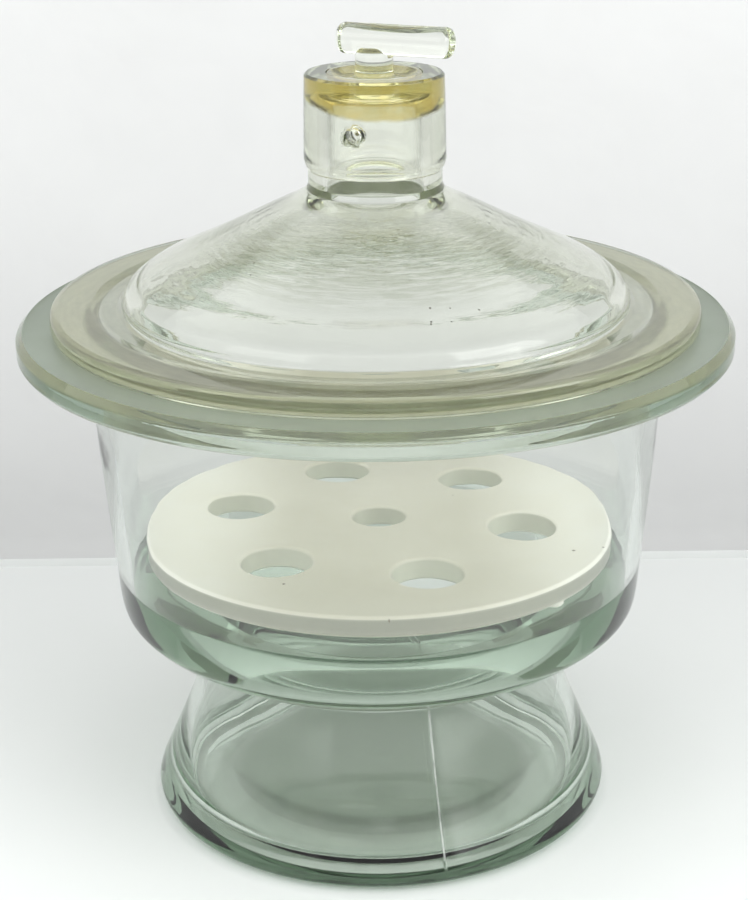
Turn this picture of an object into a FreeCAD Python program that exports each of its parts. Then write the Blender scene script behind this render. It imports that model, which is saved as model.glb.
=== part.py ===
import FreeCAD, Part
import os
import Sketcher

# Glass laboratory desiccator: a flanged bowl on a flared foot, a domed lid with a
# thick neck, a hollow ground stopper with a rod handle, a perforated porcelain
# plate, and a film of grease in each ground joint.  Millimetres.  Z is the common
# axis of every turned piece and z = 0 is the plane the foot stands on.

os.makedirs("parts", exist_ok=True)
doc = FreeCAD.newDocument("desiccator")
Vector = FreeCAD.Vector

# ---------------------------------------------------------------- dimensions
# Each profile is a closed outline in the XZ plane, given as rows of
# (corner name, radius, height).  Each corner becomes two sheet cells named
# <piece>_<corner>_rad and <piece>_<corner>_hgt.  A text value is a sheet formula.

BOWL = [
    # underside of the foot: shallow recess, then the flat ring it stands on
    ("recess_mid", 0.0, 4.2), ("recess_a", 62.0, 3.0), ("stand_in", 76.5, 0.0),
    ("stand_out", 87.2, 0.0), ("foot_low", 92.2, 3.0), ("foot_max", 93.1, 5.6),
    # flared foot up to the waist
    ("foot_a", 92.3, 8.8), ("foot_b", 90.1, 13.8), ("foot_c", 85.1, 25.0),
    ("foot_d", 77.9, 42.5), ("foot_e", 70.9, 62.5), ("waist", 69.6, 66.6),
    # underside of the heavy shoulder
    ("shoulder_a", 73.2, 68.5), ("shoulder_b", 84.1, 73.6),
    ("shoulder_c", 94.0, 79.4), ("shoulder_d", 100.9, 84.7),
    ("shoulder_e", 103.6, 88.6),
    # outside of the tapered wall
    ("wall_a", 105.6, 106.0), ("wall_b", 107.5, 127.5), ("wall_c", 109.2, 148.8),
    ("wall_d", 110.5, 170.0), ("wall_top", 111.6, 192.6),
    # wide flange
    ("flange_under", 136.5, 192.6), ("flange_low", 138.1, 194.4),
    ("flange_high", 138.1, 200.0), ("flange_edge", 135.6, 202.7),
    ("mouth", 107.4, 202.7), ("mouth_in", 106.3, 201.2),
    # inside of the wall down to the ledge that carries the plate
    ("in_d", 105.3, 170.0), ("in_c", 103.9, 148.8), ("in_b", 102.2, 127.5),
    ("in_a", 100.7, 110.0), ("ledge_out", 100.2, 104.0), ("ledge_in", 78.0, 104.0),
    # throat and lower chamber
    ("throat_a", 67.0, 95.0), ("throat_b", 61.6, 83.0), ("throat_c", 60.6, 72.0),
    ("lower_a", 62.8, 63.0), ("lower_b", 70.9, 42.5), ("lower_c", 78.0, 25.0),
    ("lower_d", 81.4, 13.0), ("floor_out", 81.0, 7.6), ("floor_a", 66.0, 7.4),
    ("boss_a", 52.0, 10.6), ("boss_b", 30.0, 12.0), ("floor_mid", 0.0, 12.4),
]

LID = [
    # ground underside of the flange, rounded rim, flange top
    ("face_in", 93.4, 202.9), ("face_out", 124.0, 202.9), ("rim_low", 125.0, 204.0),
    ("rim_high", 125.0, 207.4), ("rim_b", 124.2, 209.3), ("rim_top", 122.2, 210.0),
    ("band_out", 109.4, 209.9), ("band_in", 105.2, 209.1), ("root", 99.6, 209.1),
    # outside of the dome
    ("side_a", 97.5, 210.6), ("side_b", 96.9, 213.0), ("side_c", 95.4, 216.2),
    ("dome_a", 91.0, 219.9), ("dome_b", 84.7, 223.7), ("dome_c", 76.5, 227.5),
    ("dome_d", 68.1, 231.3), ("dome_e", 60.5, 235.0), ("dome_f", 52.8, 238.8),
    ("dome_g", 45.6, 242.5), ("dome_h", 37.8, 246.3), ("dome_i", 30.6, 249.8),
    # foot of the neck, bead and neck
    ("neck_a", 26.6, 252.2), ("neck_b", 25.5, 254.6), ("neck_c", 25.5, 260.2),
    ("bead_a", 26.4, 261.8), ("bead_b", 27.0, 264.2), ("neck_d", 26.6, 285.0),
    ("neck_e", 26.3, 295.2), ("neck_f", 25.4, 296.1),
    # ground tapered bore, then a wider relief into the dome
    ("bore_top", 18.0, 296.1), ("bore_low", 17.3, 261.2), ("relief_a", 18.2, 259.6),
    ("relief_b", 18.6, 247.4),
    # inside of the dome
    ("in_i", 21.2, 245.6), ("in_h", 29.6, 242.3), ("in_g", 38.2, 238.3),
    ("in_f", 50.0, 232.4), ("in_e", 62.0, 226.4), ("in_d", 74.0, 220.9),
    ("in_c", 82.4, 217.4), ("in_b", 88.4, 213.6), ("in_a", 91.6, 208.6),
    ("in_low", 92.3, 203.8),
]

PLUG = [
    # stem from its top down, then the dished top and the ground cone
    ("stem_mid_top", 0.0, 305.4), ("stem_top", 5.9, 305.4), ("stem_b", 7.15, 304.0),
    ("stem_a", 7.15, 296.4), ("stem_root", 8.4, 294.2), ("dish", 12.6, 293.6),
    ("rim_in", 16.0, 295.6), ("rim_out", 17.91, 296.0), ("cone_low", 17.22, 261.6),
    ("lip_a", 16.3, 259.3), ("lip_b", 14.0, 258.4), ("lip_in", 10.5, 258.4),
    # hollow inside
    ("hole", 10.5, 260.2), ("hollow_a", 13.6, 260.3), ("hollow_b", 15.4, 262.4),
    ("hollow_c", 15.8, 284.6), ("hollow_d", 13.6, 288.2), ("hollow_e", 8.0, 289.6),
    ("hollow_mid", 0.0, 289.8),
]

PLATE = [
    ("under_mid", 0.0, 109.2), ("under_out", 92.2, 109.2), ("edge_low", 93.6, 110.6),
    ("edge_high", 94.0, 116.7), ("edge_top", 92.8, 118.0), ("top_mid", 0.0, 118.0),
]

# The flange grease fills the gap between the bowl's mouth and the lid's face.
SEAL = [
    ("low_in", 107.9, "bowl_mouth_hgt"), ("low_out", 123.9, "bowl_mouth_hgt"),
    ("high_out", 123.9, "lid_face_in_hgt"), ("high_in", 107.9, "lid_face_in_hgt"),
]

PROFILES = {"bowl": BOWL, "lid": LID, "plug": PLUG, "plate": PLATE, "seal": SEAL}

# Turns are in degrees about Z.
SIZES = {
    # radial vent in the neck and the port behind it; depths run from the axis
    "vent_diameter": 6.0, "vent_height": 276.0, "vent_turn": 21.0, "vent_depth": 40.0,
    "port_diameter": 6.0, "port_depth": 20.0,
    # handle: solid rod lying across the stem, off centre
    "bar_diameter": 11.5, "bar_height": 308.0, "bar_length": 45.0, "bar_shift": 8.5,
    "bar_start": "bar_shift - bar_length / 2",
    "bar_turn": -22.0, "bar_end_fillet": 2.6, "cradle_length": 40.0,
    # plate holes; through_length only has to exceed the plate on both sides
    "centre_diameter": 21.5, "ring_diameter": 27.0,
    "ring_pitch": 116.5, "ring_radius": "ring_pitch / 2",
    "ring_turn": -12.0, "hole_edge": 1.2, "through_length": 400.0,
    # plate feet: from the bowl's ledge up, sunk a little into the plate
    "pad_diameter": 9.0, "pad_pitch": 168.0, "pad_radius": "pad_pitch / 2",
    "pad_base": "bowl_ledge_in_hgt", "pad_overlap": 0.2,
    "pad_length": "plate_under_mid_hgt - pad_base + pad_overlap", "pad_turn": -40.0,
    # band of grease at the top of the stopper joint, inset from the bore
    "film_gap": 0.015, "film_skin": 0.075, "film_low": 280.0, "film_high": 295.6,
    "bore_slope": "(lid_bore_top_rad - lid_bore_low_rad)"
                  " / (lid_bore_top_hgt - lid_bore_low_hgt)",
}
RING_HOLES = 6
PAD_COUNT = 3

values = {}
for piece, corners in PROFILES.items():
    for corner, radius, height in corners:
        values["%s_%s_rad" % (piece, corner)] = radius
        values["%s_%s_hgt" % (piece, corner)] = height
values.update(SIZES)

sheet = doc.addObject("Spreadsheet::Sheet", "dims")
for row, (alias, value) in enumerate(values.items(), start=1):
    sheet.set("A%d" % row, alias)
    sheet.setAlias("B%d" % row, alias)
for row, value in enumerate(values.values(), start=1):
    sheet.set("B%d" % row, "=" + value if isinstance(value, str) else "%.6f" % value)
doc.recompute()


def size(alias):
    return float(sheet.get(alias))


# ------------------------------------------------------------------- helpers
def new_body(label):
    body = doc.addObject("PartDesign::Body", label)
    body.Label = label
    return body


def origin_feature(body, role):
    for feature in body.Origin.OriginFeatures:
        if feature.Role == role:
            return feature
    raise RuntimeError("no origin feature " + role)


def flat_sketch(body, name, role):
    sketch = body.newObject("Sketcher::SketchObject", name)
    sketch.AttachmentSupport = [(origin_feature(body, role), "")]
    sketch.MapMode = "FlatFace"
    return sketch


def dimension(sketch, kind, references, alias):
    """Add a dimensional constraint driven by a sheet cell."""
    index = sketch.addConstraint(Sketcher.Constraint(kind, *references, size(alias)))
    sketch.setExpression("Constraints[%d]" % index, "dims." + alias)


def finish(body, feature):
    body.Tip = feature
    doc.recompute()
    return feature


def turned_body(label, piece):
    """Revolve a profile about Z; every corner is held by two sheet cells."""
    body = new_body(label)
    sketch = flat_sketch(body, label + "_profile", "XZ_Plane")
    names = ["%s_%s" % (piece, corner) for corner, _, _ in PROFILES[piece]]
    points = [Vector(size(name + "_rad"), size(name + "_hgt"), 0) for name in names]
    following = points[1:] + points[:1]
    lines = [sketch.addGeometry(Part.LineSegment(start, end), False)
             for start, end in zip(points, following)]
    for line, next_line in zip(lines, lines[1:] + lines[:1]):
        sketch.addConstraint(Sketcher.Constraint("Coincident", line, 2, next_line, 1))
    for name, point, line in zip(names, points, lines):
        # a corner on an axis is held by that axis (-2 vertical, -1 horizontal)
        if abs(point.x) < 1e-9:
            sketch.addConstraint(Sketcher.Constraint("PointOnObject", line, 1, -2))
        else:
            dimension(sketch, "DistanceX", (-1, 1, line, 1), name + "_rad")
        if abs(point.y) < 1e-9:
            sketch.addConstraint(Sketcher.Constraint("PointOnObject", line, 1, -1))
        else:
            dimension(sketch, "DistanceY", (-1, 1, line, 1), name + "_hgt")
    turned = body.newObject("PartDesign::Revolution", label + "_turned")
    turned.Profile = (sketch, [""])
    turned.ReferenceAxis = (sketch, ["V_Axis"])
    turned.Angle = 360.0
    finish(body, turned)
    return body


def upright_circle(body, name, role, diameter, height):
    """Circle in an upright plane, centred on the Z axis at the given height."""
    sketch = flat_sketch(body, name, role)
    centre = Vector(0, size(height), 0)
    circle = sketch.addGeometry(Part.Circle(centre, Vector(0, 0, 1), size(diameter) / 2), False)
    sketch.addConstraint(Sketcher.Constraint("PointOnObject", circle, 3, -2))
    dimension(sketch, "DistanceY", (-1, 1, circle, 3), height)
    dimension(sketch, "Diameter", (circle,), diameter)
    return sketch


def level_circle(body, name, diameter, radius=None):
    """Circle in the XY plane, on the Z axis or out along X at a pitch radius."""
    sketch = flat_sketch(body, name, "XY_Plane")
    centre = Vector(size(radius) if radius else 0.0, 0, 0)
    circle = sketch.addGeometry(Part.Circle(centre, Vector(0, 0, 1), size(diameter) / 2), False)
    if radius:
        sketch.addConstraint(Sketcher.Constraint("PointOnObject", circle, 3, -1))
        dimension(sketch, "DistanceX", (-1, 1, circle, 3), radius)
    else:
        sketch.addConstraint(Sketcher.Constraint("Coincident", circle, 3, -1, 1))
    dimension(sketch, "Diameter", (circle,), diameter)
    return sketch


def padded(body, name, sketch, length):
    pad = body.newObject("PartDesign::Pad", name)
    pad.Profile = (sketch, [""])
    pad.setExpression("Length", "dims." + length)
    return finish(body, pad)


def pocketed(body, name, sketch, length, midplane, least_removed):
    """Cut a pocket and make sure it takes away at least the given volume."""
    before = body.Shape.Volume
    cut = body.newObject("PartDesign::Pocket", name)
    cut.Profile = (sketch, [""])
    cut.Midplane = midplane
    cut.setExpression("Length", "dims." + length)
    finish(body, cut)
    if before - body.Shape.Volume < least_removed:
        raise RuntimeError(name + " cut nothing")
    return cut


def drilled(body, name, diameter, depth, wall_start):
    """Radial hole from the axis out through the -Y side of the wall."""
    sketch = upright_circle(body, name + "_circle", "XZ_Plane", diameter, "vent_height")
    cut = pocketed(body, name, sketch, depth, midplane=False, least_removed=1.0)
    # a thin rod through the wall on the -Y side meets glass if the hole is at +Y
    probe = Part.makeCylinder(0.5, size(depth) - wall_start,
                              Vector(0, -wall_start, size("vent_height")), Vector(0, -1, 0))
    if body.Shape.common(probe).Volume > 1e-3:
        cut.Reversed = True
        doc.recompute()
    if body.Shape.common(probe).Volume > 1e-3:
        raise RuntimeError(name + " did not open the wall")


def filleted(body, name, base, edges, radius):
    fillet = body.newObject("PartDesign::Fillet", name)
    fillet.Base = (base, edges)
    fillet.setExpression("Radius", "dims." + radius)
    return finish(body, fillet)


def repeated(body, name, feature, count):
    pattern = body.newObject("PartDesign::PolarPattern", name)
    pattern.Originals = [feature]
    pattern.Axis = (origin_feature(body, "Z_Axis"), [""])
    pattern.Angle = 360.0
    pattern.Occurrences = count
    return finish(body, pattern)


def full_circles(shape):
    """Name and curve of every closed circular edge."""
    return [("Edge%d" % number, edge.Curve)
            for number, edge in enumerate(shape.Edges, start=1)
            if edge.Curve.TypeId == "Part::GeomCircle" and edge.isClosed()]


def turn_about_z(angle):
    return FreeCAD.Placement(Vector(0, 0, 0), FreeCAD.Rotation(Vector(0, 0, 1), angle))


# -------------------------------------------------------------------- pieces
def make_lid():
    body = turned_body("lid", "lid")
    drilled(body, "lid_vent", "vent_diameter", "vent_depth", wall_start=18.5)
    body.Placement = turn_about_z(-size("vent_turn"))
    return body


def make_valve_plug():
    body = turned_body("valve_plug", "plug")
    drilled(body, "plug_port", "port_diameter", "port_depth", wall_start=16.5)
    # cradle on top of the stem, where the rod lies; it is offset by vent_turn so
    # that it lines up with the rod once the plug is turned
    sketch = upright_circle(body, "cradle_circle", "YZ_Plane", "bar_diameter", "bar_height")
    sketch.AttachmentOffset = FreeCAD.Placement(
        Vector(0, 0, 0),
        FreeCAD.Rotation(Vector(0, 1, 0), size("bar_turn") + size("vent_turn")))
    pocketed(body, "cradle", sketch, "cradle_length", midplane=True, least_removed=50.0)
    body.Placement = turn_about_z(-size("vent_turn"))
    return body


def make_handle_bar():
    body = new_body("handle_bar")
    sketch = upright_circle(body, "bar_circle", "YZ_Plane", "bar_diameter", "bar_height")
    sketch.setExpression("AttachmentOffset.Base.z", "dims.bar_start")
    rod = padded(body, "bar_rod", sketch, "bar_length")
    ends = [name for name, _ in full_circles(rod.Shape)]
    filleted(body, "bar_fire_polish", rod, ends, "bar_end_fillet")
    body.Placement = turn_about_z(size("bar_turn"))
    return body


def make_plate():
    body = turned_body("perforated_plate", "plate")

    def opening(name, sketch):
        return pocketed(body, name, sketch, "through_length", midplane=True,
                        least_removed=100.0)

    opening("centre_opening", level_circle(body, "centre_circle", "centre_diameter"))
    ring = opening("ring_opening",
                   level_circle(body, "ring_circle", "ring_diameter", "ring_radius"))
    holes = repeated(body, "ring_openings", ring, RING_HOLES)

    # softened upper mouths of the holes; the plate's own rim is wider than the ring
    mouths = [name for name, curve in full_circles(holes.Shape)
              if abs(curve.Center.z - size("plate_top_mid_hgt")) < 1e-6
              and curve.Radius < size("ring_radius")]
    if len(mouths) != RING_HOLES + 1:
        raise RuntimeError("wrong number of hole mouths: %d" % len(mouths))
    filleted(body, "hole_mouths", holes, mouths, "hole_edge")

    # low feet under the rim; pad_turn counts from X, so the plate's turn comes off
    sketch = level_circle(body, "pad_circle", "pad_diameter", "pad_radius")
    sketch.AttachmentOffset = turn_about_z(size("pad_turn") - size("ring_turn"))
    sketch.setExpression("AttachmentOffset.Base.z", "dims.pad_base")
    foot = padded(body, "foot_pad", sketch, "pad_length")
    repeated(body, "foot_pads", foot, PAD_COUNT)
    body.Placement = turn_about_z(size("ring_turn"))
    return body


def film_cone(name, inset):
    """Cone that follows the taper of the lid's bore, set in from it by inset."""
    cone = doc.addObject("Part::Cone", name)
    for radius, level in (("Radius1", "film_low"), ("Radius2", "film_high")):
        cone.setExpression(radius, "dims.lid_bore_low_rad + (dims.%s - dims.lid_bore_low_hgt)"
                                   " * dims.bore_slope - dims.%s" % (level, inset))
    cone.setExpression("Height", "dims.film_high - dims.film_low")
    cone.setExpression(".Placement.Base.z", "dims.film_low")
    return cone


def make_plug_grease():
    film = doc.addObject("Part::Cut", "plug_grease")
    film.Label = "plug_grease"
    film.Base = film_cone("film_outer", "film_gap")
    film.Tool = film_cone("film_inner", "film_skin")
    return film


pieces = [
    turned_body("bowl", "bowl"),
    make_lid(),
    make_valve_plug(),
    make_handle_bar(),
    make_plate(),
    turned_body("flange_grease", "seal"),
    make_plug_grease(),
]
doc.recompute()

# ---------------------------------------------------------- checks and export
failed = [item.Name for item in doc.Objects
          if "Invalid" in item.State or "Error" in item.State]
if failed:
    raise RuntimeError("failed features: %s" % failed)
for piece in pieces:
    shape = piece.Shape
    if shape.isNull() or not shape.isValid() or len(shape.Solids) != 1:
        raise RuntimeError("bad shape: " + piece.Label)
for piece in pieces:
    piece.Shape.exportStep("parts/%s.step" % piece.Label)
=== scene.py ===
"""A glass laboratory desiccator: foot and bowl in one, perforated porcelain plate,
domed lid with a ground neck, and a hollow stopper with a rod for a handle.

Z is the common axis and z = 0 the table; the camera looks along +Y from the front (-Y).
Shapes are given in millimetres, the scene, stage and materials in metres.
"""
import bmesh
import bpy
import math
from functools import cached_property, reduce

import numpy as np
from mathutils import Matrix, Vector


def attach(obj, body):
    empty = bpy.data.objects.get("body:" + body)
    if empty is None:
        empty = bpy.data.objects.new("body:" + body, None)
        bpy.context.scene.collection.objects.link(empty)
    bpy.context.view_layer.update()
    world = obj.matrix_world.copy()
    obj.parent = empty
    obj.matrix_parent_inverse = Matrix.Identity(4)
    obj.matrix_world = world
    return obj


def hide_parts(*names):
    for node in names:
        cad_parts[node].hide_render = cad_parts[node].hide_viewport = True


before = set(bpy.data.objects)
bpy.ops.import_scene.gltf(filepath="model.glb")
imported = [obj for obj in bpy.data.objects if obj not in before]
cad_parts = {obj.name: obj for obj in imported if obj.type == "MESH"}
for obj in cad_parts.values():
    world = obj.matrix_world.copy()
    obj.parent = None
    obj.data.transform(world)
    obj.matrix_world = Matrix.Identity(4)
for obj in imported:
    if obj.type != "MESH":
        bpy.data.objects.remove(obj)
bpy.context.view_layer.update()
scene = bpy.context.scene
MM = 0.001
TURN = 2 * math.pi

# =====================================================================
# outlines
# =====================================================================
# An outline is a list of (finish, points).  A point is (radius, height, corner radius).
# Corner radius 0: the curve runs smoothly through the point.  -1: a sharp corner.
# The finish holds for the stretches that start at its points.
CURVE_SAMPLES = 24      # samples on each stretch of a smooth curve
LINE_SPACING = 0.25     # spacing of the samples on a straight run
SUPPORT_DISTANCE = 0.22     # a point is kept at least this far inside each end of a run
CORNER_SHARE = 0.46     # share of a run that one rounded corner may use up


def distance(start, end):
    return np.linalg.norm(end - start)


def between(start, end, t_start, t_end, t):
    return (t_end - t) / (t_end - t_start) * start + (t - t_start) / (t_end - t_start) * end


def smooth_curve(points):
    """Centripetal Catmull-Rom curve through the points."""
    before = points[0] * 2 - points[1]
    after = points[-1] * 2 - points[-2]
    guide = [before] + points + [after]
    curve = []
    for p0, p1, p2, p3 in zip(guide, guide[1:], guide[2:], guide[3:]):
        t0 = 0.0
        t1 = t0 + max(distance(p0, p1), 1e-6) ** 0.5
        t2 = t1 + max(distance(p1, p2), 1e-6) ** 0.5
        t3 = t2 + max(distance(p2, p3), 1e-6) ** 0.5
        for k in range(CURVE_SAMPLES):
            t = t1 + (t2 - t1) * k / CURVE_SAMPLES
            first = between(p0, p1, t0, t1, t)
            middle = between(p1, p2, t1, t2, t)
            last = between(p2, p3, t2, t3, t)
            curve.append(between(between(first, middle, t0, t2, t),
                                 between(middle, last, t1, t3, t), t1, t2, t))
    curve.append(points[-1])
    return curve


def run_between(rows):
    """Dense (points, finishes) of the run from one corner row to the next."""
    points = [np.array(row[:2], float) for row in rows]
    if len(points) > 2:
        finishes = [row[3] for row in rows[:-1] for _ in range(CURVE_SAMPLES)]
        return smooth_curve(points), finishes + [rows[-2][3]]
    start, end = points
    count = max(2, int(distance(start, end) / LINE_SPACING))
    line = [start + (end - start) * k / count for k in range(count + 1)]
    return line, [rows[0][3]] * (count + 1)


def trimmed(run, length):
    """The run with a length cut off its start."""
    line, finishes = run
    gone = 0.0
    for i in range(len(line) - 1):
        segment = distance(line[i], line[i + 1])
        if gone + segment >= length:
            start = line[i] + (line[i + 1] - line[i]) * (length - gone) / max(segment, 1e-9)
            return [start] + line[i + 1:], finishes[i:]
        gone += segment
    return run


def flipped(run):
    return run[0][::-1], run[1][::-1]


def find_corners(runs, corner_rows):
    """Rounded corners: run before the corner -> (cut length, turning angle, place)."""
    lengths = [sum(distance(a, b) for a, b in zip(line, line[1:])) for line, _ in runs]
    corners = {}
    for i, row in enumerate(corner_rows):
        j = (i + 1) % len(runs)
        if row[2] <= 0:
            continue
        arriving = runs[i][0][-1] - runs[i][0][-2]
        leaving = runs[j][0][1] - runs[j][0][0]
        arriving = arriving / np.linalg.norm(arriving)
        leaving = leaving / np.linalg.norm(leaving)
        angle = math.acos(max(-1, min(1, float(arriving @ leaving))))
        if angle < 0.03:
            continue
        cut = min(row[2] * math.tan(angle / 2),
                  CORNER_SHARE * lengths[i], CORNER_SHARE * lengths[j])
        corners[i] = (cut, angle, np.array(row[:2], float))
    return corners


def must_keep(line):
    """Flags for the ends of a run and one support point near each."""
    keep = [False] * len(line)
    keep[0] = keep[-1] = True
    inside = range(1, len(line) - 1)
    for end, order in ((line[0], inside), (line[-1], reversed(inside))):
        for k in order:
            if distance(end, line[k]) >= SUPPORT_DISTANCE:
                keep[k] = True
                break
    return keep


def corner_points(before, after, angle, corner, step):
    """Bezier arc from the end of one trimmed run to the start of the next."""
    start, end = before[0][-1], after[0][0]
    pull = (4 / 3) * math.tan(angle / 4) / math.tan(angle / 2)
    handle1 = start + (corner - start) * pull
    handle2 = end + (corner - end) * pull
    count = max(2, int(math.ceil(math.degrees(angle) / step)))
    arc = []
    for k in range(1, count):
        t = k / count
        point = (start * (1 - t) ** 3 + 3 * handle1 * t * (1 - t) ** 2
                 + 3 * handle2 * t * t * (1 - t) + end * t ** 3)
        arc.append((point, before[1][-1] if t < 0.5 else after[1][0], True))
    return arc


def without_doubles(samples):
    clean = [samples[0]]
    for sample in samples[1:]:
        if distance(clean[-1][0], sample[0]) > 1e-5:
            clean.append(sample)
        elif sample[2] and not clean[-1][2]:
            clean[-1] = sample
    return clean


def thinned(samples, step, longest, dense):
    """Drop samples until the turning or the length since the last one is enough."""
    kept = [samples[0]]
    length = turning = 0.0
    for i in range(1, len(samples)):
        point, finish, keep = samples[i]
        arriving = point - samples[i - 1][0]
        length += np.linalg.norm(arriving)
        is_last = i == len(samples) - 1
        if not is_last:
            leaving = samples[i + 1][0] - point
            cross = arriving[0] * leaving[1] - arriving[1] * leaving[0]
            turning += abs(math.atan2(cross, float(arriving @ leaving)))
        limit = longest
        if dense:
            r_low, r_high, z_low, z_high, dense_longest = dense
            if z_low <= point[1] <= z_high and r_low <= point[0] <= r_high:
                limit = min(limit, dense_longest)
        if (keep or finish != kept[-1][1] or length >= limit
                or math.degrees(turning) >= step * 0.6 or is_last):
            kept.append(samples[i])
            length = turning = 0.0
    return kept


def trace(outline, closed, step, longest, dense):
    """Rounded, evenly sampled outline: radii, heights, finishes."""
    rows = [(*point, finish) for finish, points in outline for point in points]
    if closed:
        first = next(i for i, row in enumerate(rows) if row[2] != 0)
        rows = rows[first:] + rows[:first]
        rows.append(rows[0])
    else:
        for end in (0, -1):
            rows[end] = (*rows[end][:2], -1, rows[end][3])
    places = [i for i, row in enumerate(rows) if row[2] != 0]
    runs = [run_between(rows[a:b + 1]) for a, b in zip(places, places[1:])]
    turns = places[1:] if closed else places[1:-1]
    corners = find_corners(runs, [rows[i] for i in turns])
    for i, (cut, _, _) in corners.items():
        j = (i + 1) % len(runs)
        runs[i] = flipped(trimmed(flipped(runs[i]), cut))
        runs[j] = trimmed(runs[j], cut)
    samples = []
    for i, run in enumerate(runs):
        samples += zip(*run, must_keep(run[0]))
        if i in corners:
            _, angle, corner = corners[i]
            samples += corner_points(run, runs[(i + 1) % len(runs)], angle, corner, step)
    if closed and distance(samples[0][0], samples[-1][0]) < 1e-6:
        samples.pop()
    samples = thinned(without_doubles(samples), step, longest, dense)
    points = np.array([point for point, _, _ in samples])
    return points[:, 0], points[:, 1], [finish for _, finish, _ in samples]


# =====================================================================
# mesh tools
# =====================================================================
def add_object(name, points, faces):
    """Smooth-shaded mesh object, points in metres."""
    mesh = bpy.data.meshes.new(name)
    mesh.from_pydata(points, [], faces)
    mesh.polygons.foreach_set("use_smooth", [True] * len(faces))
    mesh.update()
    ob = bpy.data.objects.new(name, mesh)
    scene.collection.objects.link(ob)
    return ob


def ring_faces(first, second, count):
    """Faces between two rings given as (first index, size); a pole has size 1."""
    (a, a_size), (b, b_size) = first, second
    if a_size == 1 and b_size == 1:
        return []
    faces = []
    for s in range(count):
        t = (s + 1) % count
        if a_size == 1:
            faces.append((a, b + t, b + s))
        elif b_size == 1:
            faces.append((a + s, a + t, b))
        else:
            faces.append((a + s, a + t, b + t, b + s))
    return faces


def turned(name, outline, finishes, *, segments, step, longest, closed=False,
           extra_angles=(), shift=None, dense=None, slots=False):
    """Lathe an outline about Z.

    finishes: their places in the list become the face attribute "finish", and the
        material slots too when slots is set.
    step, longest: degrees per corner facet and longest spacing along the outline.
    shift(r, z, angles, normal_r, normal_z, finish): displacement along the normal.
    dense: (r low, r high, z low, z high, longest spacing in there).
    """
    r, z, row_finish = trace(outline, closed, step, longest, dense)
    if np.sum(r * np.roll(z, -1) - np.roll(r, -1) * z) < 0:
        # turn the outline round so that the faces look outwards
        r, z = r[::-1], z[::-1]
        row_finish = row_finish[::-1]
        row_finish = row_finish[1:] + row_finish[:1]
    angles = np.array(sorted({round(TURN * k / segments, 9) for k in range(segments)}
                             | {round(angle % TURN, 9) for angle in extra_angles}))
    count = len(angles)
    tangent_r = np.roll(r, -1) - np.roll(r, 1)
    tangent_z = np.roll(z, -1) - np.roll(z, 1)
    size = np.hypot(tangent_r, tangent_z)
    size[size == 0] = 1
    normal_r, normal_z = tangent_z / size, -tangent_r / size

    rings, points, base = [], [], 0
    for i in range(len(r)):
        if r[i] < 1e-6:
            ring = np.array([[0.0, 0.0, z[i]]])
        else:
            moved = np.zeros(count)
            if shift:
                moved = shift(r[i], z[i], angles, normal_r[i], normal_z[i], row_finish[i])
            ring_r = r[i] + moved * normal_r[i]
            ring_z = z[i] + moved * normal_z[i]
            ring = np.stack([ring_r * np.cos(angles), ring_r * np.sin(angles), ring_z], 1)
        points.append(ring)
        rings.append((base, len(ring)))
        base += len(ring)

    faces, face_finish = [], []
    for i in range(len(r) if closed else len(r) - 1):
        strip = ring_faces(rings[i], rings[(i + 1) % len(r)], count)
        faces += strip
        face_finish += [finishes.index(row_finish[i])] * len(strip)
    ob = add_object(name, (np.concatenate(points) * MM).tolist(), faces)
    if slots:
        ob.data.polygons.foreach_set("material_index", face_finish)
    attribute = ob.data.attributes.new("finish", "FLOAT", "FACE")
    attribute.data.foreach_set("value", np.array(face_finish, np.float32))
    return ob


def rod(name, stations, sides, matrix):
    """Capped round solid along local X; stations are (x, radius)."""
    points, faces = [], []
    for x, radius in stations:
        for s in range(sides):
            a = TURN * s / sides
            place = (x * MM, radius * math.cos(a) * MM, radius * math.sin(a) * MM)
            points.append(tuple(matrix @ Vector(place)))
    last = (len(stations) - 1) * sides
    for base in range(0, last, sides):
        for s in range(sides):
            t = (s + 1) % sides
            faces.append((base + s, base + sides + s, base + sides + t, base + t))
    faces.append(tuple(range(sides)))
    faces.append(tuple(last + s for s in reversed(range(sides))))
    ob = add_object(name, points, faces)
    bm = bmesh.new()
    bm.from_mesh(ob.data)
    bmesh.ops.recalc_face_normals(bm, faces=bm.faces)
    bm.to_mesh(ob.data)
    bm.free()
    return ob


def straight(radius, length):
    return [(-length / 2, radius), (length / 2, radius)]


def level_frame(angle, height, outward=0.0):
    """Local X level and pointing along angle, the origin moved outward along it."""
    place = (math.cos(angle) * outward * MM, math.sin(angle) * outward * MM, height * MM)
    return Matrix.Translation(place) @ Matrix.Rotation(angle, 4, "Z")


def upright_frame(angle, radius):
    """Local X pointing up, at a place given by angle and radius."""
    place = (radius * math.cos(angle) * MM, radius * math.sin(angle) * MM, 0)
    return Matrix.Translation(place) @ Matrix.Rotation(math.radians(-90), 4, "Y")


def carve(ob, cutters):
    """Subtract the cutters, apply the result and remove them."""
    for cutter in cutters:
        cut = ob.modifiers.new("cut", "BOOLEAN")
        cut.operation = "DIFFERENCE"
        cut.solver = "EXACT"
        cut.object = cutter
    bpy.context.view_layer.update()
    graph = bpy.context.evaluated_depsgraph_get()
    carved = bpy.data.meshes.new_from_object(
        ob.evaluated_get(graph), preserve_all_data_layers=True, depsgraph=graph)
    ob.modifiers.clear()
    uncut = ob.data
    ob.data = carved
    bpy.data.meshes.remove(uncut)
    for cutter in cutters:
        bpy.data.objects.remove(cutter)


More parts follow.
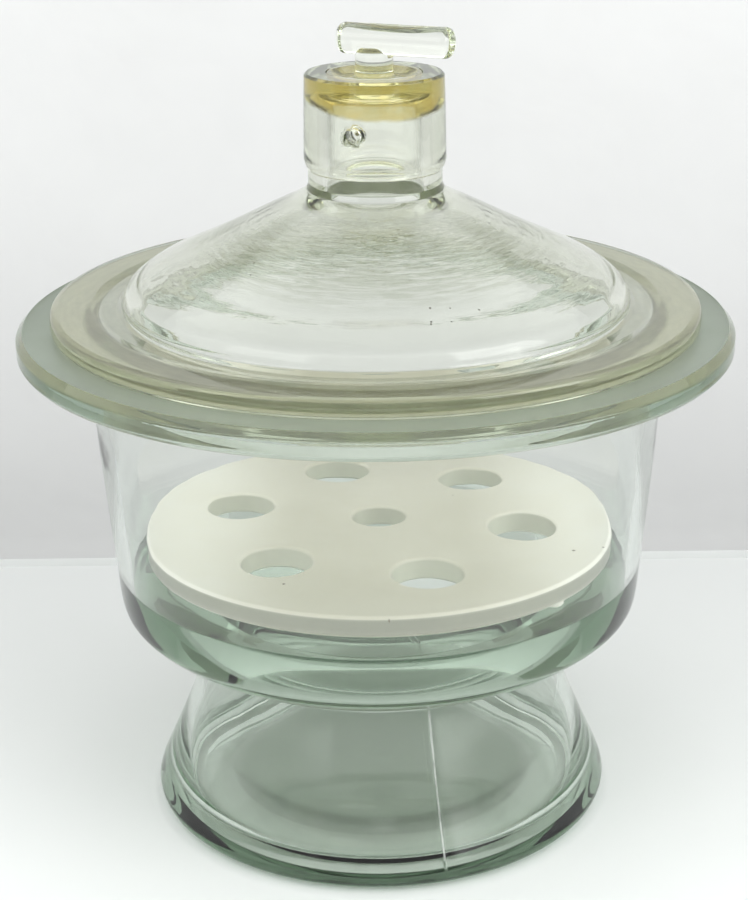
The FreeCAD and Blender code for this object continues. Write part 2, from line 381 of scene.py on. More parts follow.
def lattice_noise(seed, columns=64, rows=64):
    """Smooth noise of (x, y) from fixed random values, periodic in both."""
    values = np.random.RandomState(seed).uniform(-1, 1, (columns, rows))

    def sample(x, y):
        x = np.asarray(x, float) % columns
        y = np.asarray(y, float) % rows
        i, j = np.floor(x).astype(int), np.floor(y).astype(int)
        u, v = x - i, y - j
        u, v = u * u * (3 - 2 * u), v * v * (3 - 2 * v)
        i1, j1 = (i + 1) % columns, (j + 1) % rows
        i, j = i % columns, j % rows
        return ((values[i, j] * (1 - u) + values[i1, j] * u) * (1 - v)
                + (values[i, j1] * (1 - u) + values[i1, j1] * u) * v)
    return sample


# =====================================================================
# bowl
# =====================================================================
BOWL = [
    ("clear", [     # underside, outside of the foot, shoulder, wall and flange
        (0, 4.2, 0), (62.0, 3.0, 6), (76.5, 0.0, 2.0), (87.2, 0.0, 2.5),
        (92.2, 3.0, 0), (93.1, 5.6, 0), (92.3, 8.8, 0), (90.1, 13.8, 0), (85.1, 25.0, 0),
        (77.9, 42.5, 0), (70.9, 62.5, 0), (69.6, 66.6, 1.6),
        (73.2, 68.5, 0), (84.1, 73.6, 0), (94.0, 79.4, 0), (100.9, 84.7, 0),
        (103.6, 88.6, 0), (105.6, 106.0, 0), (107.5, 127.5, 0), (109.2, 148.8, 0),
        (110.5, 170.0, 0), (111.6, 192.6, 1.6),
        (136.3, 192.6, 1.6), (138.1, 194.6, 1.6), (138.1, 200.0, 1.6)]),
    # top of the flange
    ("ground", [(135.6, 202.7, 0.9), (126.0, 202.7, -1)]),
    ("greased", [(123.6, 202.7, -1)]),
    ("ground", [(108.2, 202.7, -1)]),
    ("clear", [     # inside: wall, ledge for the plate, foot and its floor
        (107.4, 202.7, 0.4), (106.3, 201.2, 0.8), (105.3, 170.0, 0), (103.9, 148.8, 0),
        (102.2, 127.5, 0), (100.7, 110.0, 0), (100.2, 104.0, 0.45), (78.0, 104.0, 1.2),
        (67.0, 95.0, 0), (61.6, 83.0, 0), (60.6, 72.0, 0), (62.8, 63.0, 0), (70.9, 42.5, 0),
        (78.0, 25.0, 0), (81.4, 13.0, 0), (81.0, 7.6, 3.0), (66.0, 7.4, 0), (52.0, 10.6, 0),
        (30.0, 12.0, 0), (0.0, 12.4, 0)]),
]
SEAM = math.radians(-75)    # direction of the mould seam
SEAM_HEIGHT = 0.55
SEAM_HALF_WIDTH = 0.50
SEAM_BOTTOM, SEAM_TOP, SEAM_FADE = 6, 66, 5
SEAM_OFFSETS = (0.1, 0.3, 0.55, 0.8, 1.1, 1.5, 2.2)     # extra columns each side of it
SEAM_RADIUS = 78.0          # foot radius at which those offsets hold
UNEVENNESS = 0.035
foot_noise = lattice_noise(23, columns=16)


def bowl_shift(r, z, angles, normal_r, normal_z, finish):
    moved = np.zeros_like(angles)
    # mould seam: a fine ridge up the outside of the foot
    if normal_r > 0.5 and SEAM_BOTTOM < z < SEAM_TOP and r > 68:
        off = ((angles - SEAM + math.pi) % TURN - math.pi) * r
        fade = min(1.0, (z - SEAM_BOTTOM) / SEAM_FADE) * min(1.0, (SEAM_TOP - z) / SEAM_FADE)
        moved += SEAM_HEIGHT * fade * np.exp(-(off / SEAM_HALF_WIDTH) ** 2)
    # the foot and the shoulder are a little uneven
    if 1 < r < 104 and 9 < z < 104:
        noise = foot_noise(angles * 16 / TURN, z * 0.06 + r * 0.03)
        moved += UNEVENNESS * noise * min(1.0, r / 30) * min(1.0, (z - 9) / 6)
    return moved


bowl = turned("bowl_glass", BOWL, ["clear", "ground", "greased"], segments=260, step=7.5,
              longest=3.4, shift=bowl_shift,
              extra_angles=[SEAM + side * x / SEAM_RADIUS
                            for x in SEAM_OFFSETS for side in (-1, 1)])

# =====================================================================
# lid
# =====================================================================
BORE_BOTTOM = (17.3, 261.2)     # ground cone of the neck: (radius, height)
BORE_TOP = (18.0, 296.1)
LID = [
    # underside of the rim
    ("ground", [(93.4, 202.9, 0.5)]),
    ("greased", [(108.0, 202.9, -1)]),
    ("ground", [(123.4, 202.9, -1)]),
    ("clear", [     # outside: rim, dome and neck
        (124.0, 202.9, 0.5), (125.0, 204.0, 0.8), (125.0, 207.4, 0), (124.2, 209.3, 0),
        (122.2, 210.0, 1.0), (109.4, 209.9, 1.5), (105.2, 209.1, 1.5), (99.6, 209.1, 1.2),
        (97.5, 210.6, 0), (96.9, 213.0, 0), (95.4, 216.2, 0), (91.0, 219.9, 0),
        (84.7, 223.7, 0), (76.5, 227.5, 0), (68.1, 231.3, 0), (60.5, 235.0, 0),
        (52.8, 238.8, 0), (45.6, 242.5, 0), (37.8, 246.3, 0), (30.6, 249.8, 0),
        (26.6, 252.2, 1.6), (25.5, 254.6, 1.2), (25.5, 260.2, 0.9), (26.4, 261.8, 0),
        (27.0, 264.2, 1.4), (26.6, 285.0, 6), (26.3, 295.2, 0.7), (25.4, 296.1, 0.5)]),
    ("bore", [(*BORE_TOP, 0.35)]),
    ("clear", [     # inside: throat and dome
        (*BORE_BOTTOM, 0.5), (18.2, 259.6, 1.0), (18.6, 247.4, 1.2),
        (21.2, 245.6, 0), (29.6, 242.3, 0), (38.2, 238.3, 0), (50.0, 232.4, 0),
        (62.0, 226.4, 0), (74.0, 220.9, 0), (82.4, 217.4, 0), (88.4, 213.6, 0),
        (91.6, 208.6, 0), (92.3, 203.8, 0.8)]),
]
# where the dome is wrinkled
DOME_BOTTOM, DOME_TOP = 217, 250
WRINKLE_INNER, WRINKLE_OUTER = 27.5, 95
RING_PITCH = 3.3
RING_HEIGHT, PIT_HEIGHT, SWELL_HEIGHT = 0.022, 0.018, 0.022
swell_noise = lattice_noise(3)
warp_noise = lattice_noise(7)
pit_noise = lattice_noise(11)
strength_noise = lattice_noise(19)


def lid_shift(r, z, angles, normal_r, normal_z, finish):
    """Chill wrinkles on the dome: fine rings, broken up round the circle."""
    if not (finish == "clear" and WRINKLE_INNER < r < WRINKLE_OUTER
            and DOME_BOTTOM < z < DOME_TOP):
        return np.zeros_like(angles)
    fade = min(1.0, (r - WRINKLE_INNER) / 14) * min(1.0, (WRINKLE_OUTER - r) / 7)
    column = angles * 64 / TURN
    warp = warp_noise(column, r * 0.10) * 1.2 + pit_noise(column * 3.0, r * 0.3) * 0.25
    strength = 0.5 + 0.5 * strength_noise(column, r * 0.16)
    side = 1.0 if normal_z > 0 else 0.55    # weaker on the inside
    return side * fade * (
        RING_HEIGHT * strength * np.sin(TURN * (r / RING_PITCH + warp))
        + PIT_HEIGHT * pit_noise(column * 2.0, r * 0.35 + 9)
        + SWELL_HEIGHT * swell_noise(column, r * 0.09 + 5))


lid = turned("lid_glass", LID, ["clear", "ground", "greased", "bore"], closed=True,
             segments=264, step=7.5, longest=2.6, shift=lid_shift,
             dense=(28, 95, DOME_BOTTOM, DOME_TOP, 1.05))

# hole through the neck, in line with the one in the stopper
PORT_TURN = math.radians(-111.0)
PORT_HEIGHT = 276.0
PORT_RADIUS = 3.0
carve(lid, [rod("vent_cut", straight(PORT_RADIUS, length=20), 40,
                level_frame(PORT_TURN, PORT_HEIGHT, outward=26.0))])

# =====================================================================
# stopper: hollow plug and handle rod
# =====================================================================
PLUG = [
    ("clear", [     # stem and shoulder
        (0, 305.4, 0), (5.9, 305.4, 1.0), (7.15, 303.8, 1.2), (7.15, 294.1, 2.6),
        (12.6, 293.6, 3.0), (15.6, 295.4, 1.2), (16.6, 296.0, 0.3)]),
    ("bore", [(17.91, 296.0, 0.4)]),
    ("clear", [     # lower lip and the hollow inside
        (17.22, 261.6, 1.2), (16.3, 259.3, 1.0), (14.0, 258.4, 1.0), (10.5, 258.4, 0.8),
        (10.5, 260.2, 0.8), (15.3, 260.3, 2.4), (15.8, 288.4, 3.6), (8.0, 289.7, 5.0),
        (0.0, 289.8, 0)]),
]
BAR_TURN = math.radians(-22.0)
BAR_HEIGHT = 308.0
BAR_RADIUS = 5.75
BAR_START, BAR_LENGTH = -14.0, 45.0
BAR_END = BAR_START + BAR_LENGTH
BAR_ROUND = 2.9         # radius of the fire-polished ends
SADDLE_RADIUS = 5.77    # seat of the rod in the stem
bar_frame = level_frame(BAR_TURN, BAR_HEIGHT)

plug = turned("valve_plug_glass", PLUG, ["clear", "bore"], segments=160, step=7.5, longest=1.5)
carve(plug, [rod("port_cut", straight(PORT_RADIUS, length=8), 36,
                 level_frame(PORT_TURN, PORT_HEIGHT, outward=17.0)),
             rod("saddle_cut", straight(SADDLE_RADIUS, length=60), 96, bar_frame)])


def bar_stations():
    head = []
    for k in range(9):
        a = math.radians(90 * k / 8)
        head.append((BAR_START + BAR_ROUND - BAR_ROUND * math.cos(a),
                     BAR_RADIUS - BAR_ROUND + BAR_ROUND * math.sin(a)))
    body = [(BAR_START + BAR_ROUND + (BAR_LENGTH - 2 * BAR_ROUND) * k / 24, BAR_RADIUS)
            for k in range(1, 24)]
    tail = [(BAR_END - (x - BAR_START), radius) for x, radius in reversed(head)]
    return ([(BAR_START - 0.02, 0.8), (BAR_START - 0.01, 1.9)] + head + body + tail
            + [(BAR_END + 0.01, 1.9), (BAR_END + 0.02, 0.8)])


bar = rod("handle_bar_glass", bar_stations(), 112, bar_frame)

# =====================================================================
# porcelain plate
# =====================================================================
PLATE_BOTTOM, PLATE_TOP = 109.2, 118.0
PLATE = [
    ("biscuit", [(0, PLATE_BOTTOM, 0), (92.2, PLATE_BOTTOM, 1.2)]),
    ("glaze", [(93.6, 110.6, 1.5), (94.0, 116.7, 1.3), (92.8, PLATE_TOP, 1.1),
               (0, PLATE_TOP, 0)]),
]
CENTRE_HOLE, OUTER_HOLE = 10.75, 13.5   # hole radii
HOLE_CIRCLE = 58.25     # radius on which the six outer holes sit
EDGE_BELOW, EDGE_ABOVE = 0.8, 1.35      # rounding of the hole edges
PAD_CIRCLE = 84
PAD_STATIONS = [(104.0, 3.4), (104.2, 4.1), (104.8, 4.5), (109.6, 4.5)]    # (height, radius)


def hole_cutter(radius, matrix):
    """Cutter that leaves both edges of a hole rounded."""
    stations = [(PLATE_BOTTOM - 2, radius + EDGE_BELOW), (PLATE_BOTTOM, radius + EDGE_BELOW)]
    for k in range(1, 6):
        a = math.radians(90 * k / 5)
        stations.append((PLATE_BOTTOM + EDGE_BELOW * math.sin(a),
                         radius + EDGE_BELOW * (1 - math.sin(a))))
    for k in range(8):
        a = math.radians(90 * k / 7)
        stations.append((PLATE_TOP - EDGE_ABOVE + EDGE_ABOVE * math.sin(a),
                         radius + EDGE_ABOVE * (1 - math.cos(a))))
    stations.append((PLATE_TOP + 2, radius + EDGE_ABOVE))
    return rod("hole_cut", stations, 72, matrix)


def join_pads(ob):
    """Three low feet of bare porcelain."""
    bm = bmesh.new()
    bm.from_mesh(ob.data)
    for k in range(3):
        place = upright_frame(math.radians(-40 + 120 * k), PAD_CIRCLE)
        pad = rod("pad", PAD_STATIONS, 32, place)
        first = len(bm.faces)
        bm.from_mesh(pad.data)
        bm.faces.ensure_lookup_table()
        for face in bm.faces[first:]:
            face.material_index = 1
        bpy.data.objects.remove(pad)
    bm.to_mesh(ob.data)
    bm.free()


plate = turned("perforated_plate_porcelain", PLATE, ["glaze", "biscuit"], segments=240,
               step=8, longest=4.0, slots=True)
carve(plate, [hole_cutter(CENTRE_HOLE, upright_frame(0.0, 0.0))]
      + [hole_cutter(OUTER_HOLE, upright_frame(math.radians(-12 + 60 * k), HOLE_CIRCLE))
         for k in range(1, 7)])
join_pads(plate)
weighting = plate.modifiers.new("normals", "WEIGHTED_NORMAL")
weighting.weight = 100
weighting.keep_sharp = False

# =====================================================================
# grease films
# =====================================================================
SEAL = [("film", [(107.95, 202.74, 0.03), (123.85, 202.74, 0.03),
                  (123.85, 202.86, 0.03), (107.95, 202.86, 0.03)])]


def bore_radius(height):
    (r_low, z_low), (r_high, z_high) = BORE_BOTTOM, BORE_TOP
    return r_low + (height - z_low) * (r_high - r_low) / (z_high - z_low)


# gap to the bore and height of the film's four edges
PLUG_FILM = [("film", [(bore_radius(height) - gap, height, -1) for gap, height in
                       ((0.06, 280.0), (0.03, 280.0), (0.03, 295.6), (0.06, 295.6))])]

seal = turned("flange_grease_film", SEAL, ["film"], closed=True, segments=200, step=45,
              longest=4.0)
film = turned("plug_grease_film", PLUG_FILM, ["film"], closed=True, segments=128, step=45,
              longest=1.2)


# =====================================================================
# node helper
# =====================================================================
class Net:
    """Builds the node tree of a material or world; methods return output sockets."""

    def __init__(self, owner):
        owner.use_nodes = True
        self.owner = owner
        self.tree = owner.node_tree
        self.tree.nodes.clear()

    def put(self, node, key, value):
        """Link a socket or set a value; a colour may leave out its alpha."""
        if isinstance(value, bpy.types.NodeSocket):
            self.tree.links.new(value, node.inputs[key])
        else:
            if isinstance(value, tuple) and len(value) == 3:
                value = (*value, 1)
            node.inputs[key].default_value = value

    def fill(self, node, *values):
        for k, value in enumerate(values):
            self.put(node, k, value)
        return node.outputs[0]

    def node(self, kind, **inputs):
        """New node; input names have _ for spaces, None leaves one alone."""
        node = self.tree.nodes.new("ShaderNode" + kind)
        for key, value in inputs.items():
            if value is not None:
                self.put(node, key.replace("_", " "), value)
        return node

    def make(self, kind, **inputs):
        return self.node(kind, **inputs).outputs[0]

    # arithmetic
    def math(self, operation, *values, clamp=False):
        node = self.node("Math")
        node.operation = operation
        node.use_clamp = clamp
        return self.fill(node, *values)

    def mul(self, *values):
        return reduce(lambda a, b: self.math("MULTIPLY", a, b), values)

    def add(self, a, b, clamp=False):
        return self.math("ADD", a, b, clamp=clamp)

    def sub(self, a, b):
        return self.math("SUBTRACT", a, b)

    def size(self, value):
        return self.math("ABSOLUTE", value)

    def above(self, value, limit):
        return self.math("GREATER_THAN", value, limit)

    def below(self, value, limit):
        return self.math("LESS_THAN", value, limit)

    def hypot(self, a, b):
        return self.math("SQRT", self.add(self.mul(a, a), self.mul(b, b)))

    def rise(self, value, start, end, low=0.0, high=1.0):
        """Smooth step from low at start to high at end."""
        node = self.node("MapRange")
        node.interpolation_type = "SMOOTHSTEP"
        return self.fill(node, value, start, end, low, high)

    def fall(self, value, start, end, low=0.0):
        return self.rise(value, start, end, 1.0, low)

    # coordinates, in metres and radians
    @cached_property
    def position(self):
        return self.node("TexCoord").outputs["Object"]

    @cached_property
    def axes(self):
        return self.split(self.position)

    x = property(lambda self: self.axes[0])
    y = property(lambda self: self.axes[1])
    z = property(lambda self: self.axes[2])

    @cached_property
    def radius(self):
        return self.hypot(self.x, self.y)

    @cached_property
    def angle(self):
        return self.math("ARCTAN2", self.y, self.x)

    def split(self, vector):
        return self.node("SeparateXYZ", Vector=vector).outputs

    def combine(self, x, y, z=0.0):
        return self.fill(self.node("CombineXYZ"), x, y, z)

    # patterns and colours
    def noise(self, scale, detail=2.0, rough=0.5, vector=None, distortion=0.0):
        return self.make("TexNoise", Scale=scale, Detail=detail, Roughness=rough,
                         Distortion=distortion, Vector=vector or self.position)

    def spots(self, places):
        """1 on small round marks: places are (x, y, radius) in mm."""
        marks = []
        for x, y, radius in places:
            off = self.hypot(self.sub(self.x, x * MM), self.sub(self.y, y * MM))
            marks.append(self.fall(off, start=radius * 0.55 * MM, end=radius * 1.15 * MM))
        return reduce(lambda a, b: self.math("MAXIMUM", a, b), marks)

    def greys(self, value, stops):
        """Ramp of greys; stops are (position, grey)."""
        node = self.node("ValToRGB")
        elements = node.color_ramp.elements
        while len(elements) < len(stops):
            elements.new(0.5)
        for element, (position, grey) in zip(elements, stops):
            element.position = position
            element.color = (grey, grey, grey, 1)
        return self.fill(node, value)

    def blend(self, factor, first, second, how="MIX"):
        node = self.node("Mix")
        node.data_type = "RGBA"
        node.blend_type = how
        for key, value in ((0, factor), (6, first), (7, second)):
            self.put(node, key, value)
        return node.outputs[2]

    def bump(self, height, distance, normal=None):
        return self.make("Bump", Distance=distance, Height=height, Normal=normal)

    # shaders
    def mix(self, factor, first, second):
        return self.fill(self.node("MixShader"), factor, first, second)

    def transparent(self, colour=None):
        return self.make("BsdfTransparent", Color=colour)

    def glass(self, rough, normal, tint=(1, 1, 1)):
        return self.make("BsdfPrincipled", Base_Color=tint, IOR=1.52,
                         Transmission_Weight=1.0, Roughness=rough, Normal=normal)

    def scatter(self, front, back, through):
        """Diffuse front colour mixed with a share of translucent back colour."""
        return self.mix(through, self.make("BsdfDiffuse", Color=front),
                        self.make("BsdfTranslucent", Color=back))

    def absorb(self, left):
        """Volume absorption from the share of light left after 10 mm."""
        rates = [-math.log(share) / 0.01 for share in left]
        density = max(rates) / 0.98
        return self.make("VolumeAbsorption", Density=density,
                         Color=tuple(1 - rate / density for rate in rates))

    def by_finish(self, surfaces):
        """One surface out of several, by the face attribute "finish"."""
        attribute = self.node("Attribute")
        attribute.attribute_name = "finish"
        whole = surfaces[0]
        for k, surface in enumerate(surfaces[1:], 1):
            chosen = self.math("COMPARE", attribute.outputs["Fac"], float(k), 0.4)
            whole = self.mix(chosen, whole, surface)
        return whole

    def finish(self, surface, volume=None):
        is_world = isinstance(self.owner, bpy.types.World)
        self.node("OutputWorld" if is_world else "OutputMaterial",
                  Surface=surface, Volume=volume)
        return self.owner


def new_material(name):
    return Net(bpy.data.materials.new(name))


# =====================================================================
# glass surfaces
# =====================================================================
# share of red, green and blue left after 10 mm of glass
BOWL_LEFT = (0.905, 0.930, 0.907)
LID_LEFT = (0.890, 0.902, 0.856)
STOPPER_LEFT = (0.955, 0.968, 0.925)


def clear_surface(net, wave, soft, tint, ripple=None):
    """Clear pressed glass: slightly uneven by wave, up to soft in roughness."""
    normal = net.bump(net.noise(scale=38.0, detail=2.0, rough=0.45), distance=wave)
    if ripple:
        normal = ripple(net, normal)
    rough = net.rise(net.noise(scale=60.0, detail=3.0, rough=0.6), start=0.35, end=0.75,
                     high=soft)
    return net.glass(rough, normal, tint)


def frosted_surface(net):
    """Ground glass: rough refraction with a part scattered."""
    rough, haze = 0.36, 0.46
    colour = (0.41, 0.45, 0.39)
    cloud = net.noise(scale=55.0, detail=4.0, rough=0.6)
    normal = net.bump(net.noise(scale=900.0, detail=2.0, rough=0.7), distance=0.00004)
    glass = net.glass(net.add(rough - 0.05, net.mul(cloud, 0.1)), normal,
                      tint=(0.62, 0.68, 0.60))
    front = net.blend(cloud, tuple(c * 0.9 for c in colour), colour)
    scatter = net.scatter(front, back=(0.48, 0.52, 0.44), through=0.62)
    return net.mix(net.add(haze - 0.06, net.mul(cloud, 0.12)), glass, scatter)


def greased_surface(net, least, most):
    """Ground glass wetted with grease: light passes straight on, bar a scattered share."""
    vector = net.combine(net.mul(net.angle, 9.0), net.mul(net.radius, 300.0))
    cloud = net.noise(scale=1.0, detail=4.0, rough=0.6, vector=vector)
    through = net.transparent(net.blend(cloud, (0.97, 0.97, 0.94), (1.0, 1.0, 0.98)))
    scatter = net.scatter((0.64, 0.635, 0.51), back=(0.80, 0.79, 0.65), through=0.6)
    share = net.rise(cloud, start=0.25, end=0.8, low=least, high=most)
    return net.mix(share, through, scatter)


def grease_band_mask(net):
    """1 inside the greased band of the joint, 0 below it, with an uneven lower edge."""
    edge = 0.2832
    tilt = net.mul(net.math("COSINE", net.add(net.angle, 1.05)), 0.0022)
    ragged = net.mul(net.sub(net.noise(scale=150.0, detail=3.0, rough=0.6), 0.5), 0.0022)
    height = net.add(net.z, net.add(tilt, ragged))
    return net.rise(height, start=edge - 0.0009, end=edge + 0.0011)


def bore_surface(net):
    """Ground joint: clear where greased, smooth glass with fine ground streaks below."""
    vector = net.combine(net.mul(net.angle, 26.0), net.mul(net.z, 90.0))
    streak = net.noise(scale=1.0, detail=3.0, rough=0.6, vector=vector)
    glass = net.glass(net.rise(streak, start=0.4, end=0.8, low=0.02, high=0.10),
                      net.bump(streak, distance=0.00003))
    return net.mix(grease_band_mask(net), glass, net.transparent((0.995, 0.99, 0.97)))


def drawn_surface(net, wave):
    """Drawn glass of the stem and the rod."""
    normal = net.bump(net.noise(scale=90.0, detail=2.0, rough=0.5), distance=wave)
    return net.glass(net.rise(net.noise(scale=80.0), start=0.4, end=0.8, high=0.02), normal)


# =====================================================================
# materials of the pieces
# =====================================================================
def bowl_tint(net):
    """The greener stretches: everything up to the shoulder, and a ring in the floor."""
    thick = net.mul(net.fall(net.z, start=0.098, end=0.104), 0.36)
    ring = net.mul(net.rise(net.radius, start=0.030, end=0.044, low=0.10),
                   net.fall(net.radius, start=0.055, end=0.060))
    boss = net.mul(ring, net.fall(net.z, start=0.0130, end=0.0136))
    cloud = net.rise(net.noise(scale=26.0, detail=3.0, rough=0.55, distortion=0.6),
                     start=0.3, end=0.7, low=0.75)
    weight = net.add(thick, net.mul(boss, cloud, 0.40), clamp=True)
    return net.blend(weight, (1.0, 1.0, 1.0), (0.785, 0.835, 0.78))


def seam_highlight_mask(net):
    """1 along the ridge on the outside of the foot, where a line of painted highlight is laid.
    """
    off = net.mul(net.size(net.sub(net.angle, SEAM)), net.radius)
    line = net.fall(off, start=0.00020, end=0.00060)
    span = net.mul(net.rise(net.z, start=0.010, end=0.013),
                   net.fall(net.z, start=0.064, end=0.067))
    # the foot tapers upwards; the sloping limit lies between its two faces
    outside = net.above(net.add(net.radius, net.mul(net.z, 0.37)), 0.0905)
    # the painted highlight is broken up along its length
    highlight_breakup = net.rise(net.noise(scale=180.0, detail=3.0, rough=0.6), start=0.30, end=0.62,
                    low=0.35)
    return net.mul(net.mul(line, highlight_breakup), net.mul(span, outside))


def bowl_glass():
    net = new_material("bowl_pressed_glass")
    clear = clear_surface(net, wave=0.00010, soft=0.015, tint=bowl_tint(net))
    # painted highlight: a pale diffuse line over the clear glass along the mould seam
    seam_highlight_paint = net.scatter((0.92, 0.94, 0.91), back=(0.92, 0.94, 0.91), through=0.4)
    clear = net.mix(net.mul(seam_highlight_mask(net), 0.6), clear, seam_highlight_paint)
    surface = net.by_finish([clear, frosted_surface(net),
                             greased_surface(net, least=0.04, most=0.12)])
    return net.finish(surface, net.absorb(BOWL_LEFT))


def dome_ripple(net, normal):
    """Fine ripples on the dome, weaker towards its rim."""
    inside = net.mul(net.rise(net.radius, start=0.028, end=0.040),
                     net.fall(net.radius, start=0.088, end=0.095),
                     net.fall(net.radius, start=0.058, end=0.070, low=0.22))
    vector = net.combine(net.mul(net.angle, 5.0), net.mul(net.radius, 640.0),
                         net.mul(net.z, 60.0))
    fine = net.noise(scale=1.0, detail=3.0, rough=0.55, vector=vector, distortion=0.6)
    return net.bump(net.mul(fine, inside), distance=0.00010, normal=normal)


def dome_tint(net):
    """Darker streaks on the dome: strongest in an arc across the front (-Y) of the dome."""
    vector = net.combine(net.mul(net.angle, 4.0), net.mul(net.radius, 520.0))
    streak = net.rise(
        net.noise(scale=1.0, detail=4.0, rough=0.6, vector=vector, distortion=0.8),
        start=0.34, end=0.66)
    frontness = net.mul(net.math("SINE", net.angle), -1.0)
    arc = net.mul(net.rise(net.radius, start=0.034, end=0.050),
                  net.fall(net.radius, start=0.064, end=0.076),
                  net.rise(frontness, start=-0.2, end=0.6))
    body = net.mul(net.rise(net.radius, start=0.028, end=0.034),
                   net.fall(net.radius, start=0.092, end=0.096))
    dark = net.add(net.mul(body, 0.26), net.mul(arc, streak, 0.78))
    return net.blend(dark, (1.0, 1.0, 1.0), (0.60, 0.62, 0.53))


# dark specks: (x, y, radius) in mm
DOME_SPECKS = [(18.5, -75.9, 0.45), (18.6, -83.5, 0.4), (25.5, -74.8, 0.35),
               (35.7, -73.3, 0.4), (-44.2, -42.6, 0.4)]
PLATE_SPECKS = [(74.6, -36.4, 0.75), (86.0, -33.8, 0.6), (-35.3, -63.8, 0.7),
                (31.0, 22.0, 0.5)]


def lid_glass():
    net = new_material("lid_pressed_glass")
    grain = net.make("BsdfDiffuse", Color=(0.10, 0.09, 0.07))
    dome = clear_surface(net, wave=0.00006, soft=0.006, tint=dome_tint(net),
                         ripple=dome_ripple)
    specks = net.mul(net.spots(DOME_SPECKS), net.above(net.z, 0.2185))
    surface = net.by_finish([net.mix(specks, dome, grain),
                             greased_surface(net, least=0.56, most=0.72),
                             greased_surface(net, least=0.42, most=0.56),
                             bore_surface(net)])
    return net.finish(surface, net.absorb(LID_LEFT))


def stem_glass():
    net = new_material("stopper_joint_glass")
    glass = drawn_surface(net, wave=0.0001)
    # invisible in the saddle under the rod, found by the distance from the rod's axis
    across = net.add(net.mul(net.x, -math.sin(BAR_TURN)), net.mul(net.y, math.cos(BAR_TURN)))
    from_axis = net.hypot(across, net.sub(net.z, BAR_HEIGHT * MM))
    stem = net.mix(net.below(from_axis, 0.00579), glass, net.transparent())
    return net.finish(net.by_finish([stem, bore_surface(net)]), net.absorb(STOPPER_LEFT))


def rod_glass():
    net = new_material("rod_drawn_glass")
    glass = drawn_surface(net, wave=0.00012)
    # the patch where stem and rod are one piece of glass
    weld = net.mul(net.below(net.radius, 0.0060), net.below(net.z, 0.3053))
    return net.finish(net.mix(weld, glass, net.transparent()), net.absorb(STOPPER_LEFT))


def porcelain(name, glazed):
    net = new_material(name)
    cloud = net.noise(scale=30.0, detail=4.0, rough=0.6)
    fine = net.noise(scale=260.0, detail=3.0, rough=0.6)
    colour = net.blend(net.rise(cloud, start=0.3, end=0.75),
                       (0.92, 0.895, 0.805), (0.965, 0.948, 0.88))
    # painted shade: a darker band through the middle, from front to back
    band = net.mul(net.fall(net.size(net.x), start=0.030, end=0.082), 0.85)
    patchy = net.rise(net.noise(scale=18.0, detail=3.0), start=0.2, end=0.8, low=0.75)
    colour = net.blend(net.mul(band, patchy), colour, (0.56, 0.535, 0.43))
    # painted shade on the upright walls of the holes, and on the outer edge
    facing = net.split(net.node("NewGeometry").outputs["True Normal"])[2]
    wall = net.mul(net.fall(net.size(facing), start=0.2, end=0.7),
                   net.fall(net.radius, start=0.078, end=0.080))
    colour = net.blend(wall, colour, (0.62, 0.61, 0.52))
    rim = net.mul(net.rise(net.radius, start=0.0932, end=0.0938),
                  net.fall(net.z, start=0.1166, end=0.1172))
    colour = net.blend(rim, colour, (0.36, 0.36, 0.29))
    # scattered specks, and the placed ones on the top face
    cells = net.node("TexVoronoi", Scale=95.0, Vector=net.position).outputs["Distance"]
    dots = net.mul(net.fall(cells, start=0.05, end=0.085),
                   net.above(net.noise(scale=70.0, detail=0.0), 0.66))
    marks = net.mul(net.spots(PLATE_SPECKS), net.above(net.z, 0.1178))
    colour = net.blend(net.math("MAXIMUM", dots, marks), colour, (0.20, 0.17, 0.12))
    if glazed:
        finish = dict(Roughness=net.rise(fine, start=0.3, end=0.7, low=0.34, high=0.5),
                      Coat_Weight=0.25, Coat_Roughness=0.25)
    else:
        finish = dict(Roughness=0.8)
    return net.finish(net.make("BsdfPrincipled", Base_Color=colour,
                               Normal=net.bump(fine, distance=0.00006), **finish))


def grease(net, thin, thick, body, least, most):
    """Tinted film from thick to thin, with a share of body colour scattered."""
    cloud = net.add(net.mul(net.noise(scale=70.0, detail=4.0, rough=0.62), 0.8),
                    net.mul(net.noise(scale=420.0, detail=2.0, rough=0.6), 0.2))
    tint = net.blend(net.rise(cloud, start=0.3, end=0.7), thick, thin)
    cover = net.rise(cloud, start=0.25, end=0.8, low=least, high=most)
    return net.mix(cover, net.transparent(tint), net.scatter(body, back=body, through=0.55))


def flange_grease():
    net = new_material("flange_grease")
    return net.finish(grease(net, thin=(0.995, 0.99, 0.95), thick=(0.975, 0.965, 0.89),
                             body=(0.84, 0.81, 0.66), least=0.12, most=0.26))


def stopper_grease():
    net = new_material("aged_stopper_grease")
    film = grease(net, thin=(0.99, 0.965, 0.80), thick=(0.955, 0.88, 0.62),
                  body=(0.88, 0.80, 0.50), least=0.08, most=0.20)
    return net.finish(net.mix(grease_band_mask(net), net.transparent(), film))


bowl.data.materials.append(bowl_glass())
lid.data.materials.append(lid_glass())
plug.data.materials.append(stem_glass())
bar.data.materials.append(rod_glass())
plate.data.materials.append(porcelain("porcelain_glaze", glazed=True))
plate.data.materials.append(porcelain("porcelain_biscuit", glazed=False))
seal.data.materials.append(flange_grease())
film.data.materials.append(stopper_grease())

# ride on the bodies and stand for the CAD nodes
for ob, body, node, slot in (
    (bowl, "bowl", "bowl", "bowl_glass"),
    (lid, "lid", "lid", "lid_glass"),
    (plug, "stopper", "valve_plug", "stopper_glass"),
    (bar, "stopper", "handle_bar", "rod_glass"),
    (plate, "plate", "perforated_plate", "porcelain"),
    (seal, "lid_seal", "flange_grease", "grease"),
    (film, "stopper_seal", "plug_grease", "aged_grease"),
):
    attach(ob, body)
    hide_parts(node)

# =====================================================================
# stage: table and backdrop (metres)
# =====================================================================
TABLE_Z = -0.00012
TABLE_BACK = 0.2185
